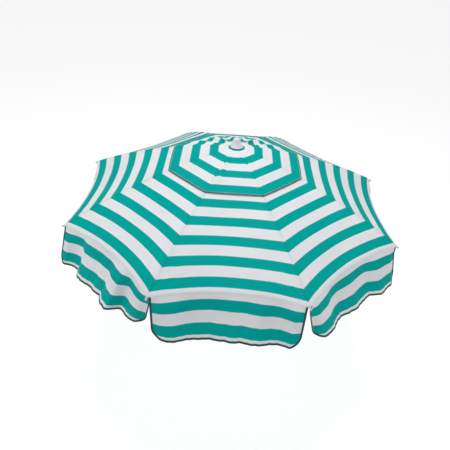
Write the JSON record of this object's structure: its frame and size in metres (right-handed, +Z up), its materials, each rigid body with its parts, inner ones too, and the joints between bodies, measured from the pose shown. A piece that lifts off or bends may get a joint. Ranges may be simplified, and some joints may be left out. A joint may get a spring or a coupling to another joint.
{
  "type": "beach umbrella",
  "caption": "Striped beach umbrella with a vent cap and a rounded valance on folding ribs and stretchers, with a telescopic pole, a clamp knob and a ground spike.",
  "frame": {"origin": "the ground spike's lowest point, on the pole's axis", "axes": "+Z up along the pole; a panel faces each of +X, -X, +Y and -Y; the clamp knob is at -X"},
  "size_m": [1.6192, 1.6192, 1.3119],
  "materials": {
    "canopy_cloth": "plain-woven polyester in sea-green and white stripes, satin",
    "valance_cloth": "the canopy's cloth, hemmed and bound in dark-green tape",
    "pole_paint": "white powder coat, gloss",
    "stretcher_paint": "white enamel, gloss",
    "rib_rod": "white glass-fibre rod, gloss",
    "bright_steel": "zinc-plated steel",
    "white_plastic": "white moulded plastic, satin",
    "finial_plastic": "white moulded plastic, satin",
    "tip_plastic": "grey moulded plastic",
    "grey_plastic": "dark-grey moulded plastic",
    "spike_plastic": "dark-grey glass-filled plastic"
  },
  "bodies": {
    "lower_section": {"lower_pole": "pole_paint", "ground_spike": "spike_plastic", "pole_bushing": "grey_plastic"},
    "upper_section": {"upper_pole": "pole_paint", "clamp_collar": "white_plastic", "rib_hub": "white_plastic", "hub_wire": "bright_steel", "finial": "finial_plastic"},
    "knob": {"clamp_knob": "grey_plastic"},
    "catch": {"catch_spring": "bright_steel"},
    "runner_body": {"runner": "white_plastic", "runner_wire": "bright_steel"},
    "rib_arm_1": {"rib_1": "rib_rod", "rib_joint_1": "bright_steel", "rib_tip_1": "tip_plastic"},
    "rib_arm_2": {"rib_2": "rib_rod", "rib_joint_2": "bright_steel", "rib_tip_2": "tip_plastic"},
    "rib_arm_3": {"rib_3": "rib_rod", "rib_joint_3": "bright_steel", "rib_tip_3": "tip_plastic"},
    "rib_arm_4": {"rib_4": "rib_rod", "rib_joint_4": "bright_steel", "rib_tip_4": "tip_plastic"},
    "rib_arm_5": {"rib_5": "rib_rod", "rib_joint_5": "bright_steel", "rib_tip_5": "tip_plastic"},
    "rib_arm_6": {"rib_6": "rib_rod", "rib_joint_6": "bright_steel", "rib_tip_6": "tip_plastic"},
    "rib_arm_7": {"rib_7": "rib_rod", "rib_joint_7": "bright_steel", "rib_tip_7": "tip_plastic"},
    "rib_arm_8": {"rib_8": "rib_rod", "rib_joint_8": "bright_steel", "rib_tip_8": "tip_plastic"},
    "stretcher_arm_1": {"stretcher_1": "stretcher_paint"},
    "stretcher_arm_2": {"stretcher_2": "stretcher_paint"},
    "stretcher_arm_3": {"stretcher_3": "stretcher_paint"},
    "stretcher_arm_4": {"stretcher_4": "stretcher_paint"},
    "stretcher_arm_5": {"stretcher_5": "stretcher_paint"},
    "stretcher_arm_6": {"stretcher_6": "stretcher_paint"},
    "stretcher_arm_7": {"stretcher_7": "stretcher_paint"},
    "stretcher_arm_8": {"stretcher_8": "stretcher_paint"},
    "panel_1": {"canopy_panel_1": "canopy_cloth"},
    "panel_2": {"canopy_panel_2": "canopy_cloth"},
    "panel_3": {"canopy_panel_3": "canopy_cloth"},
    "panel_4": {"canopy_panel_4": "canopy_cloth"},
    "panel_5": {"canopy_panel_5": "canopy_cloth"},
    "panel_6": {"canopy_panel_6": "canopy_cloth"},
    "panel_7": {"canopy_panel_7": "canopy_cloth"},
    "panel_8": {"canopy_panel_8": "canopy_cloth"},
    "flap_1": {"valance_1": "valance_cloth"},
    "flap_2": {"valance_2": "valance_cloth"},
    "flap_3": {"valance_3": "valance_cloth"},
    "flap_4": {"valance_4": "valance_cloth"},
    "flap_5": {"valance_5": "valance_cloth"},
    "flap_6": {"valance_6": "valance_cloth"},
    "flap_7": {"valance_7": "valance_cloth"},
    "flap_8": {"valance_8": "valance_cloth"}
  },
  "joints": [
    {"name": "pole_extend", "type": "slide", "parent": "lower_section", "child": "upper_section", "axis": [0, 0, 1], "range_m": [0, 0.65]},
    {"name": "knob_turn", "type": "hinge", "parent": "upper_section", "child": "knob", "pos_m": [-0.03, 0, 0.146], "axis": [-1, 0, 0], "range_deg": [0, 360]},
    {"name": "catch_press", "type": "slide", "parent": "upper_section", "child": "catch", "axis": [-1, 0, 0], "range_m": [0, 0.005], "stiffness_N_per_m": 800},
    {"name": "canopy_fold", "type": "hinge", "parent": "upper_section", "child": "rib_arm_1", "pos_m": [0.02402, 0.00995, 1.25293], "axis": [-0.3827, 0.9239, 0], "range_deg": [0, 69], "deforming": ["catch_spring", "canopy_panel_1", "canopy_panel_2", "canopy_panel_3", "canopy_panel_4", "canopy_panel_5", "canopy_panel_6", "canopy_panel_7", "canopy_panel_8", "valance_1", "valance_2", "valance_3", "valance_4", "valance_5", "valance_6", "valance_7", "valance_8"]},
    {"name": "rib_fold_2", "type": "hinge", "parent": "upper_section", "child": "rib_arm_2", "pos_m": [0.00995, 0.02402, 1.25293], "axis": [-0.9239, 0.3827, 0], "range_deg": [0, 69]},
    {"name": "rib_fold_3", "type": "hinge", "parent": "upper_section", "child": "rib_arm_3", "pos_m": [-0.00995, 0.02402, 1.25293], "axis": [-0.9239, -0.3827, 0], "range_deg": [0, 69]},
    {"name": "rib_fold_4", "type": "hinge", "parent": "upper_section", "child": "rib_arm_4", "pos_m": [-0.02402, 0.00995, 1.25293], "axis": [-0.3827, -0.9239, 0], "range_deg": [0, 69]},
    {"name": "rib_fold_5", "type": "hinge", "parent": "upper_section", "child": "rib_arm_5", "pos_m": [-0.02402, -0.00995, 1.25293], "axis": [0.3827, -0.9239, 0], "range_deg": [0, 69]},
    {"name": "rib_fold_6", "type": "hinge", "parent": "upper_section", "child": "rib_arm_6", "pos_m": [-0.00995, -0.02402, 1.25293], "axis": [0.9239, -0.3827, 0], "range_deg": [0, 69]},
    {"name": "rib_fold_7", "type": "hinge", "parent": "upper_section", "child": "rib_arm_7", "pos_m": [0.00995, -0.02402, 1.25293], "axis": [0.9239, 0.3827, 0], "range_deg": [0, 69]},
    {"name": "rib_fold_8", "type": "hinge", "parent": "upper_section", "child": "rib_arm_8", "pos_m": [0.02402, -0.00995, 1.25293], "axis": [0.3827, 0.9239, 0], "range_deg": [0, 69]},
    {"name": "stretcher_fold_1", "type": "hinge", "parent": "rib_arm_1", "child": "stretcher_arm_1", "pos_m": [0.3882, 0.1608, 1.13619], "axis": [-0.3827, 0.9239, 0], "range_deg": [-138, 0]},
    {"name": "stretcher_fold_2", "type": "hinge", "parent": "rib_arm_2", "child": "stretcher_arm_2", "pos_m": [0.1608, 0.3882, 1.13619], "axis": [-0.9239, 0.3827, 0], "range_deg": [-138, 0]},
    {"name": "stretcher_fold_3", "type": "hinge", "parent": "rib_arm_3", "child": "stretcher_arm_3", "pos_m": [-0.1608, 0.3882, 1.13619], "axis": [-0.9239, -0.3827, 0], "range_deg": [-138, 0]},
    {"name": "stretcher_fold_4", "type": "hinge", "parent": "rib_arm_4", "child": "stretcher_arm_4", "pos_m": [-0.3882, 0.1608, 1.13619], "axis": [-0.3827, -0.9239, 0], "range_deg": [-138, 0]},
    {"name": "stretcher_fold_5", "type": "hinge", "parent": "rib_arm_5", "child": "stretcher_arm_5", "pos_m": [-0.3882, -0.1608, 1.13619], "axis": [0.3827, -0.9239, 0], "range_deg": [-138, 0]},
    {"name": "stretcher_fold_6", "type": "hinge", "parent": "rib_arm_6", "child": "stretcher_arm_6", "pos_m": [-0.1608, -0.3882, 1.13619], "axis": [0.9239, -0.3827, 0], "range_deg": [-138, 0]},
    {"name": "stretcher_fold_7", "type": "hinge", "parent": "rib_arm_7", "child": "stretcher_arm_7", "pos_m": [0.1608, -0.3882, 1.13619], "axis": [0.9239, 0.3827, 0], "range_deg": [-138, 0]},
    {"name": "stretcher_fold_8", "type": "hinge", "parent": "rib_arm_8", "child": "stretcher_arm_8", "pos_m": [0.3882, -0.1608, 1.13619], "axis": [0.3827, 0.9239, 0], "range_deg": [-138, 0]},
    {"name": "runner_pivot", "type": "hinge", "parent": "stretcher_arm_1", "child": "runner_body", "pos_m": [0.02402, 0.00995, 1.01946], "axis": [-0.3827, 0.9239, 0], "range_deg": [0, 69]},
    {"name": "panel_fold_1", "type": "hinge", "parent": "upper_section", "child": "panel_1", "pos_m": [0.01838, 0.01838, 1.25893], "axis": [-0.7071, 0.7071, 0], "range_deg": [0, 64.22]},
    {"name": "panel_fold_2", "type": "hinge", "parent": "upper_section", "child": "panel_2", "pos_m": [0, 0.026, 1.25893], "axis": [-1, 0, 0], "range_deg": [0, 62.49]},
    {"name": "panel_fold_3", "type": "hinge", "parent": "upper_section", "child": "panel_3", "pos_m": [-0.01838, 0.01838, 1.25893], "axis": [-0.7071, -0.7071, 0], "range_deg": [0, 64.22]},
    {"name": "panel_fold_4", "type": "hinge", "parent": "upper_section", "child": "panel_4", "pos_m": [-0.026, 0, 1.25893], "axis": [0, -1, 0], "range_deg": [0, 62.49]},
    {"name": "panel_fold_5", "type": "hinge", "parent": "upper_section", "child": "panel_5", "pos_m": [-0.01838, -0.01838, 1.25893], "axis": [0.7071, -0.7071, 0], "range_deg": [0, 64.22]},
    {"name": "panel_fold_6", "type": "hinge", "parent": "upper_section", "child": "panel_6", "pos_m": [0, -0.026, 1.25893], "axis": [1, 0, 0], "range_deg": [0, 62.49]},
    {"name": "panel_fold_7", "type": "hinge", "parent": "upper_section", "child": "panel_7", "pos_m": [0.01838, -0.01838, 1.25893], "axis": [0.7071, 0.7071, 0], "range_deg": [0, 64.22]},
    {"name": "panel_fold_8", "type": "hinge", "parent": "upper_section", "child": "panel_8", "pos_m": [0.026, 0, 1.25893], "axis": [0, 1, 0], "range_deg": [0, 62.49]},
    {"name": "flap_fold_1", "type": "hinge", "parent": "panel_1", "child": "flap_1", "pos_m": [0.54286, 0.54286, 0.96419], "axis": [-0.7071, 0.7071, 0], "range_deg": [-44.22, 0]},
    {"name": "flap_fold_2", "type": "hinge", "parent": "panel_2", "child": "flap_2", "pos_m": [0, 0.76772, 0.96419], "axis": [-1, 0, 0], "range_deg": [-42.49, 0]},
    {"name": "flap_fold_3", "type": "hinge", "parent": "panel_3", "child": "flap_3", "pos_m": [-0.54286, 0.54286, 0.96419], "axis": [-0.7071, -0.7071, 0], "range_deg": [-44.22, 0]},
    {"name": "flap_fold_4", "type": "hinge", "parent": "panel_4", "child": "flap_4", "pos_m": [-0.76772, 0, 0.96419], "axis": [0, -1, 0], "range_deg": [-42.49, 0]},
    {"name": "flap_fold_5", "type": "hinge", "parent": "panel_5", "child": "flap_5", "pos_m": [-0.54286, -0.54286, 0.96419], "axis": [0.7071, -0.7071, 0], "range_deg": [-44.22, 0]},
    {"name": "flap_fold_6", "type": "hinge", "parent": "panel_6", "child": "flap_6", "pos_m": [0, -0.76772, 0.96419], "axis": [1, 0, 0], "range_deg": [-42.49, 0]},
    {"name": "flap_fold_7", "type": "hinge", "parent": "panel_7", "child": "flap_7", "pos_m": [0.54286, -0.54286, 0.96419], "axis": [0.7071, 0.7071, 0], "range_deg": [-44.22, 0]},
    {"name": "flap_fold_8", "type": "hinge", "parent": "panel_8", "child": "flap_8", "pos_m": [0.76772, 0, 0.96419], "axis": [0, 1, 0], "range_deg": [-42.49, 0]}
  ],
  "couplings": [
    {"joint": "rib_fold_2", "follows": "canopy_fold", "ratio": 1},
    {"joint": "rib_fold_3", "follows": "canopy_fold", "ratio": 1},
    {"joint": "rib_fold_4", "follows": "canopy_fold", "ratio": 1},
    {"joint": "rib_fold_5", "follows": "canopy_fold", "ratio": 1},
    {"joint": "rib_fold_6", "follows": "canopy_fold", "ratio": 1},
    {"joint": "rib_fold_7", "follows": "canopy_fold", "ratio": 1},
    {"joint": "rib_fold_8", "follows": "canopy_fold", "ratio": 1},
    {"joint": "stretcher_fold_1", "follows": "canopy_fold", "ratio": -2},
    {"joint": "stretcher_fold_2", "follows": "canopy_fold", "ratio": -2},
    {"joint": "stretcher_fold_3", "follows": "canopy_fold", "ratio": -2},
    {"joint": "stretcher_fold_4", "follows": "canopy_fold", "ratio": -2},
    {"joint": "stretcher_fold_5", "follows": "canopy_fold", "ratio": -2},
    {"joint": "stretcher_fold_6", "follows": "canopy_fold", "ratio": -2},
    {"joint": "stretcher_fold_7", "follows": "canopy_fold", "ratio": -2},
    {"joint": "stretcher_fold_8", "follows": "canopy_fold", "ratio": -2},
    {"joint": "runner_pivot", "follows": "canopy_fold", "ratio": 1},
    {"joint": "panel_fold_1", "follows": "canopy_fold", "ratio": 0.93},
    {"joint": "panel_fold_2", "follows": "canopy_fold", "ratio": 0.905},
    {"joint": "panel_fold_3", "follows": "canopy_fold", "ratio": 0.93},
    {"joint": "panel_fold_4", "follows": "canopy_fold", "ratio": 0.905},
    {"joint": "panel_fold_5", "follows": "canopy_fold", "ratio": 0.93},
    {"joint": "panel_fold_6", "follows": "canopy_fold", "ratio": 0.905},
    {"joint": "panel_fold_7", "follows": "canopy_fold", "ratio": 0.93},
    {"joint": "panel_fold_8", "follows": "canopy_fold", "ratio": 0.905},
    {"joint": "flap_fold_1", "follows": "canopy_fold", "ratio": -0.6401},
    {"joint": "flap_fold_2", "follows": "canopy_fold", "ratio": -0.6151},
    {"joint": "flap_fold_3", "follows": "canopy_fold", "ratio": -0.6401},
    {"joint": "flap_fold_4", "follows": "canopy_fold", "ratio": -0.6151},
    {"joint": "flap_fold_5", "follows": "canopy_fold", "ratio": -0.6401},
    {"joint": "flap_fold_6", "follows": "canopy_fold", "ratio": -0.6151},
    {"joint": "flap_fold_7", "follows": "canopy_fold", "ratio": -0.6401},
    {"joint": "flap_fold_8", "follows": "canopy_fold", "ratio": -0.6151}
  ]
}
